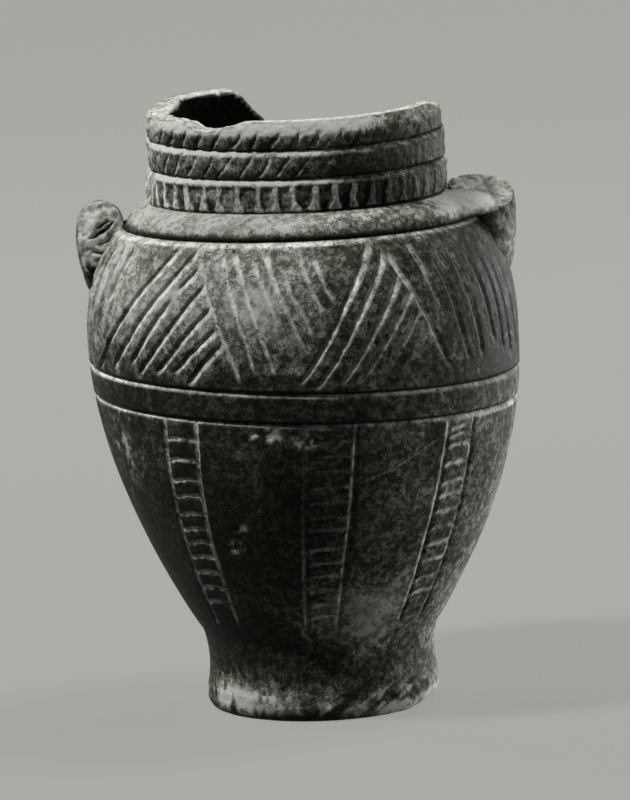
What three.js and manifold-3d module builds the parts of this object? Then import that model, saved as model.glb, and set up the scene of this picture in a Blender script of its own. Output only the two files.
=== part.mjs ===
// A small hand-built burnished jar of the Bronze Age, with two broken handles and a broken rim.
// It is put together as its potter did: a base disc and a foot, walls raised in straps,
// a collar for the neck, applied bands with cut notches, and handles luted to the shoulder.
// Millimetres, +Z up. The origin is the centre of the base on the surface that the jar stands on,
// the front is -Y, and azimuths are degrees from the front towards +X.
import * as THREE from "three";
import { mergeVertices } from "three/addons/utils/BufferGeometryUtils.js";
import Module from "manifold-3d";

const wasm = await Module();
wasm.setup();

// The film of slip that joins one piece of clay to the next.
const slip = 0.3;

// How far each piece rises, from the base up, and the heights of the joints that follow.
const beadHeight = 6.5;
const discRebate = 2.5;
const waistHeight = 12;
const footHeight = 20;
const lowerWallRise = 58.4;
const girdleWidth = 7.4;
const bellyRise = 6.2;
const shoulderRise = 35.7;
const neckSeatRise = 4;
const rollCover = 2.1;
const notchedBandWidth = 8.5;
const middleBandWidth = 7.5;
const rimBandWidth = 7.4;

const floorHeight = beadHeight + discRebate;
const girdleBottom = footHeight + lowerWallRise;
const girdleTop = girdleBottom + girdleWidth;
const bellyHeight = girdleTop + bellyRise;
const shoulderHeight = girdleTop + shoulderRise;
const neckSeatHeight = shoulderHeight + neckSeatRise;
const rollTop = neckSeatHeight + rollCover;
const notchedBandTop = rollTop + notchedBandWidth;
const middleBandTop = notchedBandTop + middleBandWidth;
const rimHeight = middleBandTop + rimBandWidth;

// The neck's bore and wall, what is laid round it, and the body that widens below it.
const neckBore = 31;
const neckWall = 4.2;
const bandThickness = 2.1;
const rimBandStep = 0.4;
const seatLedge = 3.2;
const rollWidth = 7.8;
const bellySwell = 8.5;
const bodyWall = 6.5;
const neckOutside = neckBore + neckWall;
const bandRadius = neckOutside + slip + bandThickness;
const neckSeatRadius = neckOutside + seatLedge;
const shoulderRadius = bandRadius + rollWidth;
const bellyRadius = shoulderRadius + bellySwell;

// The foot: its top, its waist, its bead, and the disc that it stands on.
const footTopRadius = 29.8;
const footWall = 10.5;
const waistInset = 1.3;
const beadInset = 0.6;
const baseInset = 2.4;
const discOverlap = 3.4;
const waistRadius = footTopRadius - waistInset;
const beadRadius = footTopRadius - beadInset;
const baseRadius = footTopRadius - baseInset;
const discRadius = footTopRadius - footWall + discOverlap;

// The bevel where straps overlap, and the grooves at the joints and along the bands.
const scarf = 3;
const jointGroove = 0.9;
const bandGroove = 0.8;

// How the hand-built rings lean: degrees that the girdle and the bead rise towards +X, and the rim
// towards the back, and how far the foot stands off the axis.
const girdleLean = -2.6;
const beadLean = 1.5;
const rimLean = 2;
const footOffset = 1.2;

// The notches of the applied bands.
const notchCount = 44;
const notchDepth = 1;
const ropeSlant = 38;

// The carving: strokes that were cut with a knife held aslant, steep on one side. The shoulder is
// hatched, and the lower wall has ladders, of which the solids have the two rails.
const hatchCut = { width: 2, depth: 0.9, offset: 0.4 };
const railCut = { width: 1.5, depth: 0.8 };
const ladderFoot = 24.5;
const ladderTop = girdleBottom - 1.2;

// The triangles that the strokes fill: azimuths from the peak of an upright one, where its strokes
// have their feet and those of the hanging one beside it their heads, where the side is that they
// run up to, and how far it and they slant over the hatching's height. They stop just short of it.
const patternRepeats = 6;
const firstPeak = -12;
const hatchingFoot = 88.5;
const hatchingHead = 119.5;
const uprightTriangle = { starts: [-30, -23, -16, -9, -2], side: 19.5, closing: 47, slant: 30 };
const hangingTriangle = { starts: [4, 10.5, 17, 23.5, 30], side: 56, closing: 40, slant: 15 };
const strokeStop = 0.04;

// The longer strokes on the front, each from its foot to its head: azimuth, height, azimuth, height.
const frontHatching = [
  [-69, 88.5, -39, 119.5], [-60, 89, -32, 119.5], [-49, 88.5, -27, 112.5], [-42, 89, -25, 107],
  [-36, 90, -24, 101], [-17, 89, -31, 119.5], [-13, 91.5, -24, 119.5], [-8, 91.5, -20, 119.5],
  [0, 96.5, -11, 119.5], [-1, 89, 20, 119.5], [3, 88.5, 24, 118], [9, 89, 27, 112.5],
  [14, 89.5, 30, 109.5], [20, 90, 31, 105], [41, 91, 26, 117.5], [48, 92, 41, 116],
  [54, 92, 48, 117], [60, 95, 54, 119], [66, 92, 60, 118], [72, 90, 65, 116],
  [78, 91, 71, 117], [84, 90, 78, 112],
];

// The rails of the ladders, as azimuths of the left and the right one, at the top and at the foot.
const ladders = [
  { top: [-41, -30], foot: [-50, -39] },
  { top: [-1, 13], foot: [-6, 8] },
  { top: [41, 51], foot: [37, 50] },
  ...[96, 139, 181, 225, 268].map((middle) => ({
    top: [middle - 6, middle + 6],
    foot: [middle - 6, middle + 5],
  })),
];

// The breaks: the rim's gap and worn place, and the foot's rubbed edge.
const rimGap = { azimuth: 154, halfAngle: 53, depth: 17.5 };
const rimChip = { azimuth: -40, halfAngle: 12, depth: 1.7 };
const footWear = { width: 7.7, rise: 2.6 };

// The broken handles, which stood a little proud of the belly.
const handleDrop = 18.5;
const handleThickness = 12.2;
const handleBreadth = 17;
const handleRoot = shoulderHeight - handleDrop;
const leftHandle = { azimuth: -88, stand: 1.8, rise: 7, breakTilt: -66, breakOffset: 4.5, breakRise: -1.5 };
const rightHandle = { azimuth: 90, stand: 0.6, rise: 12.5, breakTilt: -17, breakOffset: 0, breakRise: 5.4 };

const roundSegments = 44;
const curveStep = 9;
const hiddenStep = 15;
const strokeStep = 10;
const strokeProud = 1.5;
const ladderColumns = 10;

const clay = { color: 0x4a4843, roughness: 0.55, metalness: 0 };
const wornClay = { color: 0x8e8b82, roughness: 0.85, metalness: 0 };

const radians = THREE.MathUtils.degToRad;
const point = (radius, height) => new THREE.Vector2(radius, height);

// The outside of the body from the top of the foot to the shoulder groove.
function outerRadius(height) {
  if (height <= bellyHeight) {
    const rise = THREE.MathUtils.clamp((height - footHeight) / (bellyHeight - footHeight), 0, 1);
    return footTopRadius + (bellyRadius - footTopRadius) * Math.sin((Math.PI / 2) * rise) ** 0.9;
  }
  const rise = (height - bellyHeight) / (shoulderHeight - bellyHeight);
  return bellyRadius - (bellyRadius - shoulderRadius) * rise ** 2.8;
}

// The inside: a bowl that is widest at the belly and closes to the neck's bore.
function innerRadius(height) {
  const widest = bellyRadius - bodyWall;
  if (height <= bellyHeight) {
    const fall = (bellyHeight - height) / (bellyHeight - floorHeight);
    return Math.max(footTopRadius - footWall, widest * (1 - fall ** 2) ** (2 / 3));
  }
  const rise = (height - bellyHeight) / (neckSeatHeight - bellyHeight);
  return widest - (widest - neckBore) * Math.min(rise, 1) ** 3;
}

// Points up one side of the wall, a step apart, from one height to another.
function curvePoints(radiusAt, from, to, step = curveStep) {
  const steps = Math.max(1, Math.round(Math.abs(to - from) / step));
  return Array.from({ length: steps + 1 }, (_, i) => {
    const height = THREE.MathUtils.lerp(from, to, i / steps);
    return point(radiusAt(height), height);
  });
}

// The girdle, the bead at the foot and the rim don't lie level, and the walls between them follow.
function lean(place) {
  const { smoothstep } = THREE.MathUtils;
  const [x, y, height] = place;
  const aboveGirdle = smoothstep(height, girdleTop, shoulderHeight);
  const girdle = smoothstep(height, footHeight, girdleBottom) * (1 - aboveGirdle);
  const bead = smoothstep(height, 0, beadHeight) * (1 - smoothstep(height, beadHeight + slip, footHeight));
  const rim = smoothstep(height, rollTop, rimHeight);
  place[0] += footOffset * (1 - smoothstep(height, footHeight, bellyHeight));
  place[2] +=
    x * (Math.tan(radians(girdleLean)) * girdle + Math.tan(radians(beadLean)) * bead) +
    y * Math.tan(radians(rimLean)) * rim;
}

function toSolid(geometry) {
  const bare = new THREE.BufferGeometry();
  bare.setAttribute("position", geometry.getAttribute("position").clone());
  bare.setIndex(geometry.index);
  const merged = mergeVertices(bare, 1e-4);
  return new wasm.Manifold(
    new wasm.Mesh({
      numProp: 3,
      vertProperties: new Float32Array(merged.getAttribute("position").array),
      triVerts: new Uint32Array(merged.index.array),
    }),
  );
}

// A closed ring or disc from its profile, given from the bottom up the outside and down the inside.
// It is shaped and carved while it is true, and then leans as the real one does.
function turned(profile, { segments = roundSegments, shape = (geometry) => geometry, cuts = [] } = {}) {
  const closed = profile[0].x === 0 ? profile : [...profile, profile[0].clone()];
  const ring = toSolid(shape(new THREE.LatheGeometry(closed, segments).rotateX(Math.PI / 2)));
  const carved = cuts.length ? ring.subtract(wasm.Manifold.union(cuts)).simplify(slip / 15) : ring;
  return carved.warp(lean);
}

function toGeometry(solid) {
  const made = solid.getMesh();
  const geometry = new THREE.BufferGeometry();
  geometry.setAttribute("position", new THREE.BufferAttribute(made.vertProperties, 3));
  geometry.setIndex(new THREE.BufferAttribute(made.triVerts, 1));
  const flat = geometry.toNonIndexed();
  flat.computeVertexNormals();
  return flat;
}

const jar = new THREE.Group();

function addPiece(name, solid, look = clay) {
  const mesh = new THREE.Mesh(toGeometry(solid), new THREE.MeshStandardMaterial(look));
  mesh.name = name;
  jar.add(mesh);
}

// Base disc: the slab that the pot was started on, rebated to take the foot's wall.
function baseDisc() {
  return turned([
    point(0, 0),
    point(discRadius, 0),
    point(discRadius, beadHeight),
    point(footTopRadius - footWall - slip, beadHeight),
    point(footTopRadius - footWall - slip, beadHeight + discRebate),
    point(0, beadHeight + discRebate),
  ]);
}

// Foot bead: a coil pressed round the disc's edge.
function footBead() {
  const bulge = new THREE.EllipseCurve(
    baseRadius, beadHeight / 2, beadRadius - baseRadius, beadHeight / 2, -Math.PI / 2, Math.PI / 2,
  );
  return turned([point(discRadius + slip, 0), ...bulge.getPoints(4), point(discRadius + slip, beadHeight)]);
}

// Foot wall: a short waisted collar that stands on the bead and the disc's rebate.
function footCollar() {
  const bottom = beadHeight + slip;
  const top = footHeight - slip / 2;
  const flare = (height) =>
    waistRadius + (footTopRadius - waistRadius) * ((height - waistHeight) / (footHeight - waistHeight)) ** 2;
  const bore = footTopRadius - footWall;
  return turned([...curvePoints(flare, bottom, top), point(bore, top), point(bore, bottom)]);
}

// A closed solid through rings of points, all with the same number, from one end to the other.
function skin(rings) {
  const sides = rings[0].length;
  const faces = [];
  for (let row = 0; row + 1 < rings.length; row++)
    for (let i = 0; i < sides; i++) {
      const a = row * sides + i;
      const b = row * sides + ((i + 1) % sides);
      faces.push(a, b, b + sides, a, b + sides, a + sides);
    }
  const last = (rings.length - 1) * sides;
  for (let i = 1; i + 1 < sides; i++) faces.push(0, i + 1, i, last, last + i, last + i + 1);
  const geometry = new THREE.BufferGeometry();
  geometry.setAttribute("position", new THREE.Float32BufferAttribute(rings.flat(2), 3));
  geometry.setIndex(faces);
  return geometry;
}

// What a knife takes out of the wall along a stroke. Its deepest line is offset to the left, so that
// the left side is the steep one, and it stands proud of the wall all along.
function stroke([footAzimuth, foot, headAzimuth, head]) {
  const { width, depth, offset } = hatchCut;
  const run = radians(headAzimuth - footAzimuth) * bellyRadius;
  const length = Math.hypot(run, head - foot);
  const across = [(head - foot) / length, -run / length];
  const { lerp } = THREE.MathUtils;
  const corner = (share, aside, out) => {
    const height = lerp(foot, head, share);
    const radius = outerRadius(height) + out;
    const turn = radians(lerp(footAzimuth, headAzimuth, share)) + (across[0] * aside) / radius;
    return [radius * Math.sin(turn), -radius * Math.cos(turn), height + across[1] * aside];
  };
  const steps = Math.max(1, Math.round(length / strokeStep));
  const spread = (edge) => -offset + (edge + offset) * (1 + strokeProud / depth);
  return toSolid(
    skin(
      Array.from({ length: steps + 1 }, (_, i) => [
        corner(i / steps, -offset, -depth),
        corner(i / steps, spread(-width / 2), strokeProud),
        corner(i / steps, spread(width / 2), strokeProud),
      ]),
    ),
  );
}

// The hatching of the back, where triangles that point up and down go on as on the front.
function backHatching(peak) {
  const { lerp } = THREE.MathUtils;
  const reach = ({ side, closing }, start) => Math.min(1, (side - start) / closing) - strokeStop;
  const upright = uprightTriangle.starts.map((start) => {
    const share = reach(uprightTriangle, start);
    const head = start + uprightTriangle.slant * share;
    return [peak + start, hatchingFoot, peak + head, lerp(hatchingFoot, hatchingHead, share)];
  });
  const hanging = hangingTriangle.starts.map((start) => {
    const share = reach(hangingTriangle, start);
    const foot = start + hangingTriangle.slant * share;
    return [peak + foot, lerp(hatchingHead, hatchingFoot, share), peak + start, hatchingHead];
  });
  return [...upright, ...hanging];
}

function shoulderStrokes() {
  const strokes = [...frontHatching];
  for (let repeat = 2; repeat < patternRepeats - 1; repeat++)
    strokes.push(...backHatching(firstPeak + (repeat * 360) / patternRepeats));
  return strokes.map(stroke);
}

// Draws the lower wall's columns together into the ladders' rails. Each rail has a column along its bottom
// and one on either side, with one more between the rails and three before the next ladder.
function pressRails(geometry) {
  const { lerp, clamp, radToDeg } = THREE.MathUtils;
  const position = geometry.getAttribute("position");
  for (let i = 0; i < position.count; i++) {
    const radius = Math.hypot(position.getX(i), position.getY(i));
    const height = position.getZ(i);
    const share = clamp((height - ladderFoot) / (ladderTop - ladderFoot), 0, 1);
    const rail = (number, side) => {
      const { top, foot } = ladders[number % ladders.length];
      return lerp(foot[side], top[side], share) + (number < ladders.length ? 0 : 360);
    };
    const turn = Math.atan2(position.getX(i), -position.getY(i)) / (2 * Math.PI);
    const column = Math.round((turn + 1) * ladders.length * ladderColumns) % (ladders.length * ladderColumns);
    const number = Math.floor(column / ladderColumns);
    const place = column % ladderColumns;
    const [left, right, next] = [rail(number, 0), rail(number, 1), rail(number + 1, 0)];
    const half = radToDeg(railCut.width / 2 / outerRadius(height));
    const sides = [left - half, left, left + half, (left + right) / 2, right - half, right, right + half];
    const azimuth = radians(sides[place] ?? lerp(right + half, next - half, (place - 6) / 4));
    const carved = radius > innerRadius(height) + bodyWall / 2 && height >= ladderFoot && height <= ladderTop;
    const pressed = carved && (place === 1 || place === 5) ? radius - railCut.depth : radius;
    position.setXY(i, pressed * Math.sin(azimuth), -pressed * Math.cos(azimuth));
  }
  return geometry;
}

// The profile of a strap of the body's wall. Its edges are bevelled so that straps overlap inside,
// and their outer corners are cut back into a groove at each joint.
function strap(bottom, top, lowerScarf, upperScarf, lowerGroove, upperGroove) {
  const low = bottom + slip / 2;
  const high = top - slip / 2;
  const outside = curvePoints(outerRadius, low + lowerGroove, high - upperGroove);
  const inside = curvePoints(innerRadius, high - upperScarf, low - lowerScarf, hiddenStep);
  const profile = [];
  if (lowerGroove) profile.push(point(outerRadius(low) - jointGroove, low));
  profile.push(...outside);
  if (upperGroove) profile.push(point(outerRadius(high) - jointGroove, high));
  return [...profile, ...inside];
}

// Lower wall: the strap from the foot to the girdle, carved with the ladders.
function lowerStrap() {
  const [start, ...rest] = strap(footHeight, girdleBottom, 0, scarf, 0, jointGroove);
  const profile = [start, point(outerRadius(ladderFoot), ladderFoot), ...rest];
  return turned(profile, { segments: ladders.length * ladderColumns, shape: pressRails });
}

// Shoulder wall: the top strap, with a sloping seat for the roll and a level one for the neck.
function shoulderStrap() {
  const low = girdleTop + slip / 2;
  const profile = [
    point(outerRadius(low) - jointGroove, low),
    point(outerRadius(low + jointGroove), low + jointGroove),
    ...curvePoints(outerRadius, bellyHeight, shoulderHeight - jointGroove / 2),
    point(shoulderRadius - jointGroove, shoulderHeight + slip),
    point(neckSeatRadius, neckSeatHeight),
    point(neckBore, neckSeatHeight),
    ...curvePoints(innerRadius, neckSeatHeight - bodyWall, low - scarf, hiddenStep),
  ];
  return turned(profile, { cuts: shoulderStrokes() });
}

// The rounded outside of the neck roll, or of a shape that clears it all round.
function rollCrown(clearance = 0) {
  return new THREE.QuadraticBezierCurve(
    point(shoulderRadius - jointGroove / 2 + clearance, shoulderHeight + 2 * slip),
    point(shoulderRadius - jointGroove + clearance, rollTop + 1 + clearance),
    point(bandRadius, rollTop - slip + clearance),
  ).getPoints(5);
}

// Neck roll: a thick coil that covers the joint of neck and shoulder.
function neckRoll() {
  const inner = neckOutside + slip;
  return turned([
    point(shoulderRadius - jointGroove - slip, shoulderHeight + 2 * slip),
    ...rollCrown(),
    point(inner, rollTop - slip),
    point(inner, neckSeatHeight + slip),
    point(neckSeatRadius, neckSeatHeight + slip),
  ]);
}

// Neck wall: the collar behind the bands, up to the rim.
function neckCollar() {
  const low = neckSeatHeight + slip;
  const lip = 1.2;
  return turned([
    point(neckBore, low),
    point(neckOutside, low),
    point(neckOutside, rimHeight - lip),
    point(neckOutside - lip, rimHeight),
    point(neckBore + lip, rimHeight),
    point(neckBore, rimHeight - lip),
  ]);
}

// Presses notches into the face of a band. Each has a column of vertices at its bottom and one on
// either side, and a slanted notch comes from a twist of the whole band.
function pressNotches(geometry, inner, middle, slant) {
  const position = geometry.getAttribute("position");
  for (let i = 0; i < position.count; i++) {
    const radius = Math.hypot(position.getX(i), position.getY(i));
    const azimuth = Math.atan2(position.getX(i), -position.getY(i));
    const column = Math.round((azimuth / (2 * Math.PI)) * notchCount * 3);
    const pressed = radius > inner + 0.01 && column % 3 === 0 ? radius - notchDepth : radius;
    const turn = azimuth + ((position.getZ(i) - middle) * Math.tan(radians(slant))) / bandRadius;
    position.setXY(i, pressed * Math.sin(turn), -pressed * Math.cos(turn));
  }
  return geometry;
}

// An applied band: a flattened coil whose notched face swells between two pinched edges.
function band(bottom, top, radius, slant) {
  const inner = neckOutside + slip;
  const low = bottom + slip / 2;
  const high = top - slip / 2;
  const face = new THREE.CubicBezierCurve(
    point(radius - bandGroove, low),
    point(radius + bandGroove / 2, low + bandGroove),
    point(radius + bandGroove / 2, high - bandGroove),
    point(radius - bandGroove, high),
  );
  const profile = [point(inner, low), ...face.getPoints(3), point(inner, high)];
  const shape = (geometry) => pressNotches(geometry, inner, (low + high) / 2, slant);
  return turned(profile, { segments: notchCount * 3, shape });
}

// What is missing above a broken edge: a wedge that looks out from the axis at an azimuth.
function breakTool({ azimuth, halfAngle, depth }) {
  const halfWidth = bandRadius * Math.sin(radians(halfAngle));
  const floor = rimHeight - depth;
  const above = rimHeight + rimBandWidth;
  const outline = new THREE.Shape([
    point(-halfWidth * 1.1, above),
    point(-halfWidth, rimHeight - depth * 0.15),
    point(-halfWidth * 0.72, floor + depth * 0.3),
    point(-halfWidth * 0.35, floor),
    point(halfWidth * 0.3, floor + depth * 0.12),
    point(halfWidth * 0.75, floor + depth * 0.45),
    point(halfWidth, rimHeight - depth * 0.1),
    point(halfWidth * 1.1, above),
  ]);
  const wedge = new THREE.ExtrudeGeometry(outline, { depth: 2 * bandRadius, bevelEnabled: false });
  wedge.rotateX(Math.PI / 2);
  wedge.rotateZ(radians(azimuth));
  return toSolid(wedge);
}

// A block that takes away everything above its underside, or below it when turned over.
function slab() {
  const side = 2 * bellyRadius;
  return new THREE.BoxGeometry(side, side, side).translate(0, 0, side / 2);
}

// The foot's edge is worn away on the +X side.
function wearTool() {
  const start = beadRadius - footWear.width;
  const block = slab().rotateY(Math.PI).translate(-bellyRadius, 0, 0);
  block.rotateY(-Math.atan(footWear.rise / footWear.width));
  block.translate(start + 2 * bellyRadius, 0, (footWear.rise / footWear.width) * 2 * bellyRadius);
  return toSolid(block);
}

// What a handle's root sits on: the outside of the body and the roll, filled in and a film of slip larger.
function handleSeat() {
  const grown = (height) => outerRadius(height) + slip;
  return turned([
    point(0, footHeight),
    ...curvePoints(grown, footHeight, bellyHeight),
    ...curvePoints(grown, bellyHeight, shoulderHeight - jointGroove / 2).slice(1),
    ...rollCrown(slip),
    point(bandRadius, rimHeight),
    point(0, rimHeight),
  ]);
}

// A closed solid through level elliptical sections, each with a radial and a tangential half-width.
function loft(sections, sides = 20) {
  const turns = Array.from({ length: sides }, (_, i) => (2 * Math.PI * i) / sides);
  return skin(
    sections.map(({ radius, height, radial, tangential }) =>
      turns.map((turn) => [radius + radial * Math.cos(turn), tangential * Math.sin(turn), height]),
    ),
  );
}

// A handle's root: it grows out of the shoulder and stands up beside the neck, where it broke off.
function handleStub({ azimuth, stand, rise, breakTilt, breakOffset, breakRise }) {
  const handleRadius = bellyRadius + stand;
  const half = handleThickness / 2;
  const height = handleDrop + rise;
  const rootRadius = outerRadius(handleRoot) + slip;
  const sections = [0, 0.2, 0.4, 0.6, 0.8, 0.93, 1].map((share) => {
    const crown = Math.max(0, (share - 0.7) / 0.3);
    const rounding = Math.sqrt(Math.max(0.1, 1 - crown ** 2));
    const spread = 1 + 0.25 * (1 - share) ** 2;
    const outer = THREE.MathUtils.lerp(rootRadius, handleRadius, Math.min(1, share / 0.6) ** 0.7);
    return {
      radius: outer - half,
      height: handleRoot + height * share,
      radial: half * rounding,
      tangential: (handleBreadth / 2) * spread * rounding,
    };
  });
  const stub = loft(sections).rotateZ(radians(azimuth - 90));
  const broken = slab().rotateX(radians(-breakTilt));
  broken.translate(Math.sign(azimuth) * (handleRadius - half), -breakOffset, shoulderHeight + breakRise);
  return toSolid(stub).subtract(handleSeat()).subtract(toSolid(broken));
}

const gap = breakTool(rimGap);
const chip = breakTool(rimChip);
const wear = wearTool();

addPiece("base_disc", baseDisc().subtract(wear));
addPiece("foot_bead", footBead().subtract(wear), wornClay);
addPiece("foot_wall", footCollar());
addPiece("lower_wall", lowerStrap());
addPiece("girdle", turned(strap(girdleBottom, girdleTop, scarf, scarf, jointGroove, jointGroove)));
addPiece("shoulder_wall", shoulderStrap());
addPiece("neck_wall", neckCollar().subtract(gap).subtract(chip));
addPiece("neck_roll", neckRoll());
addPiece("notched_band", band(rollTop, notchedBandTop, bandRadius, 0).subtract(gap));
addPiece("middle_rope_band", band(notchedBandTop, middleBandTop, bandRadius, ropeSlant).subtract(gap));
addPiece(
  "rim_rope_band",
  band(middleBandTop, rimHeight - 2 * slip, bandRadius - rimBandStep, ropeSlant).subtract(gap).subtract(chip),
);
addPiece("left_handle_stub", handleStub(leftHandle), wornClay);
addPiece("right_handle_stub", handleStub(rightHandle), wornClay);

export default jar;
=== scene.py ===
import itertools
import math

import bmesh
import bpy
import numpy as np
from mathutils import Matrix, Vector


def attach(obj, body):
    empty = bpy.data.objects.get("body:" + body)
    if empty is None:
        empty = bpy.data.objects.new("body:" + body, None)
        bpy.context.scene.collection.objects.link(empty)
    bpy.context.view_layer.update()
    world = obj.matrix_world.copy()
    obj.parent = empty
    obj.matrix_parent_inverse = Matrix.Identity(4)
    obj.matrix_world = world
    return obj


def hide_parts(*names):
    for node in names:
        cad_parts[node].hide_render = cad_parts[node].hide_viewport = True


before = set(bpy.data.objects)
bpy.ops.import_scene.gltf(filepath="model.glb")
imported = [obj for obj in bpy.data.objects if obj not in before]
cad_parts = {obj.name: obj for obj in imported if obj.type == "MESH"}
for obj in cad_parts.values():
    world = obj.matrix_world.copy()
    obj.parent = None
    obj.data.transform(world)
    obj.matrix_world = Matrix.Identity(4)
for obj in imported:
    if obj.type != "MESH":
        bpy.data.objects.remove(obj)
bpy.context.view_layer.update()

# The lower wall and the foot's waist: one strap of dark clay drawn up from the foot, burnished with
# a pebble and cut with ladder panels while it was leather-hard. It is closed over the base disc
# below and ends above in the girdle's lower groove. Sizes are in millimetres, as in the solids.
METRES = 0.001
FOOT_TOP, GIRDLE_LOW, GIRDLE_HIGH, BELLY, SHOULDER = 20.0, 78.4, 85.8, 92.0, 121.5
BEAD_TOP, FLOOR = 6.5, 9.0
FOLD_TOP, WAIST, COLLAR_FOOT = BEAD_TOP + 0.3, 12.0, SHOULDER + 4
FOOT_RADIUS, BELLY_RADIUS, SHOULDER_RADIUS = 29.8, 53.9, 45.4
WAIST_INSET, BODY_WALL, FOOT_WALL = 1.3, 6.5, 10.5
NECK_BORE, ROLL_TOP, RIM = 31.0, 127.6, 151.0
GIRDLE_LEAN, BEAD_LEAN, RIM_LEAN, FOOT_OFFSET = -2.6, 1.5, 2.0, 1.2
GROOVE_DEPTH, GROOVE_STEEP, GROOVE_SLOPE = 0.95, 0.6, 1.25
SKIN = 1.5


def held(value):
    """The value kept between 0 and 1."""
    return np.clip(value, 0, 1)


def ease(value, low, high):
    """0 below low, 1 above high, and a smooth rise in between."""
    share = held((np.asarray(value, float) - low) / (high - low))
    return share * share * (3 - 2 * share)


def outer_radius(height):
    """The burnished outside of the body, from the foot's top to the shoulder groove."""
    height = np.asarray(height, float)
    rise = held((height - FOOT_TOP) / (BELLY - FOOT_TOP))
    below = FOOT_RADIUS + (BELLY_RADIUS - FOOT_RADIUS) * np.sin(np.pi / 2 * rise) ** 0.9
    climb = np.clip((height - BELLY) / (SHOULDER - BELLY), 0, 2)
    above = BELLY_RADIUS - (BELLY_RADIUS - SHOULDER_RADIUS) * climb ** 2.8
    return np.where(height < BELLY, below, above)


def inner_radius(height):
    """The wiped inside, widest at the belly."""
    height = np.asarray(height, float)
    widest = BELLY_RADIUS - BODY_WALL
    fall = held((BELLY - height) / (BELLY - FLOOR))
    below = np.maximum(FOOT_RADIUS - FOOT_WALL, widest * (1 - fall ** 2) ** (2 / 3))
    rise = held((height - BELLY) / (COLLAR_FOOT - BELLY))
    return np.where(height < BELLY, below, widest - (widest - NECK_BORE) * rise ** 3)


def steps(low, high, step):
    """Heights from low to high, about a step apart."""
    return np.linspace(low, high, max(2, round(abs(high - low) / step) + 1))


def face(radius_at, heights):
    """Points up one face of a wall."""
    return [(radius_at(height), height) for height in heights]


def read_points(mesh, what="co"):
    """The mesh's points, one row each, or with "normal" their normals."""
    values = np.empty(len(mesh.vertices) * 3)
    mesh.vertices.foreach_get(what, values)
    return values.reshape(-1, 3)


def write_points(mesh, points):
    """Moves the mesh's points to the given places in millimetres."""
    mesh.vertices.foreach_set("co", (points * METRES).ravel())


def write_marks(mesh, marks):
    """Keeps each mark under its name: a value for each of the mesh's points, or one for all."""
    for mark, values in marks.items():
        kept = mesh.attributes.new(mark, "FLOAT", "POINT").data
        kept.foreach_set("value", np.full(len(kept), values, np.float32))


def placed(name, thing):
    """Puts a mesh, a light or a camera in the scene under the given name."""
    holder = bpy.data.objects.new(name, thing)
    bpy.context.scene.collection.objects.link(holder)
    return holder


def shaped(name, operator, **settings):
    """A new mesh made by one mesh operator."""
    clay = bmesh.new()
    operator(clay, **settings)
    mesh = bpy.data.meshes.new(name)
    clay.to_mesh(mesh)
    clay.free()
    return mesh


def polar(points):
    """Degrees from the front towards +X, radius and height of each point."""
    azimuth = np.degrees(np.arctan2(points[:, 0], -points[:, 1]))
    return azimuth, np.hypot(points[:, 0], points[:, 1]), points[:, 2].copy()


def measured(mesh):
    """The mesh's points, with the azimuth, radius and height of each."""
    points = read_points(mesh)
    return points, *polar(points)


def from_polar(azimuth, radius, height):
    """The points at the given azimuths, radii and heights."""
    turn = np.radians(azimuth)
    return np.column_stack((radius * np.sin(turn), -radius * np.cos(turn), height))


def raised_ring(name, outside, inside, columns):
    """A closed ring of clay: a strip that is bent round and joined, given by its outer and its inner
    face, both listed from the bottom up."""
    profile = np.array([*outside, *reversed(inside), outside[0]])
    mesh = shaped(name, bmesh.ops.create_grid, x_segments=columns, y_segments=len(profile) - 1, size=0.5)
    places = read_points(mesh) + 0.5
    radius, height = profile[np.rint(places[:, 1] * (len(profile) - 1)).astype(int)].T
    mesh.vertices.foreach_set("co", from_polar(360 * places[:, 0], radius, height).ravel())
    clay = bmesh.new()
    clay.from_mesh(mesh)
    bmesh.ops.remove_doubles(clay, verts=clay.verts, dist=0.002)
    bmesh.ops.recalc_face_normals(clay, faces=clay.faces)
    clay.to_mesh(mesh)
    clay.free()
    return mesh


def grain(points, size, seed):
    """Smooth unevenness of about the given size in millimetres, between -1 and 1."""
    lattice = np.random.default_rng(seed).uniform(-1, 1, (32, 32, 32))
    spot = points / size + seed * 0.37
    low = np.floor(spot).astype(int)
    part = spot - low
    part = part * part * (3 - 2 * part)
    total = np.zeros(len(points))
    for corner in itertools.product((0, 1), repeat=3):
        weight = np.prod(np.where(corner, part, 1 - part), axis=1)
        total += weight * lattice[tuple(((low + corner) % 32).T)]
    return total


def unevenness(points):
    """How far the hand-built wall falls short of a true round at each place."""
    return 0.25 + 0.16 * grain(points, 24, 3) + 0.06 * grain(points, 8, 9)


def lean(points):
    """Tips the girdle, the foot's bead and the rim as the real jar has them."""
    x, y, height = points[:, 0], points[:, 1], points[:, 2]
    girdle = ease(height, FOOT_TOP, GIRDLE_LOW) * (1 - ease(height, GIRDLE_HIGH, SHOULDER))
    bead = ease(height, 0, BEAD_TOP) * (1 - ease(height, FOLD_TOP, FOOT_TOP))
    rim = ease(height, ROLL_TOP, RIM)
    rise = x * (math.tan(math.radians(GIRDLE_LEAN)) * girdle + math.tan(math.radians(BEAD_LEAN)) * bead)
    rise += y * math.tan(math.radians(RIM_LEAN)) * rim
    offset = FOOT_OFFSET * (1 - ease(height, FOOT_TOP, BELLY))
    return np.column_stack((x + offset, y, height + rise))


def turned(azimuth, centre):
    """Degrees from a centre line, between -180 and 180."""
    return (azimuth - centre + 180) % 360 - 180


def patch(azimuth, height, at_azimuth, at_height, across, up):
    """1 at a place on the wall, fading out over the given distances in millimetres."""
    aside = np.radians(turned(azimuth, at_azimuth)) * outer_radius(np.minimum(height, SHOULDER))
    return np.exp(-(aside / across) ** 2 - ((height - at_height) / up) ** 2)


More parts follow.
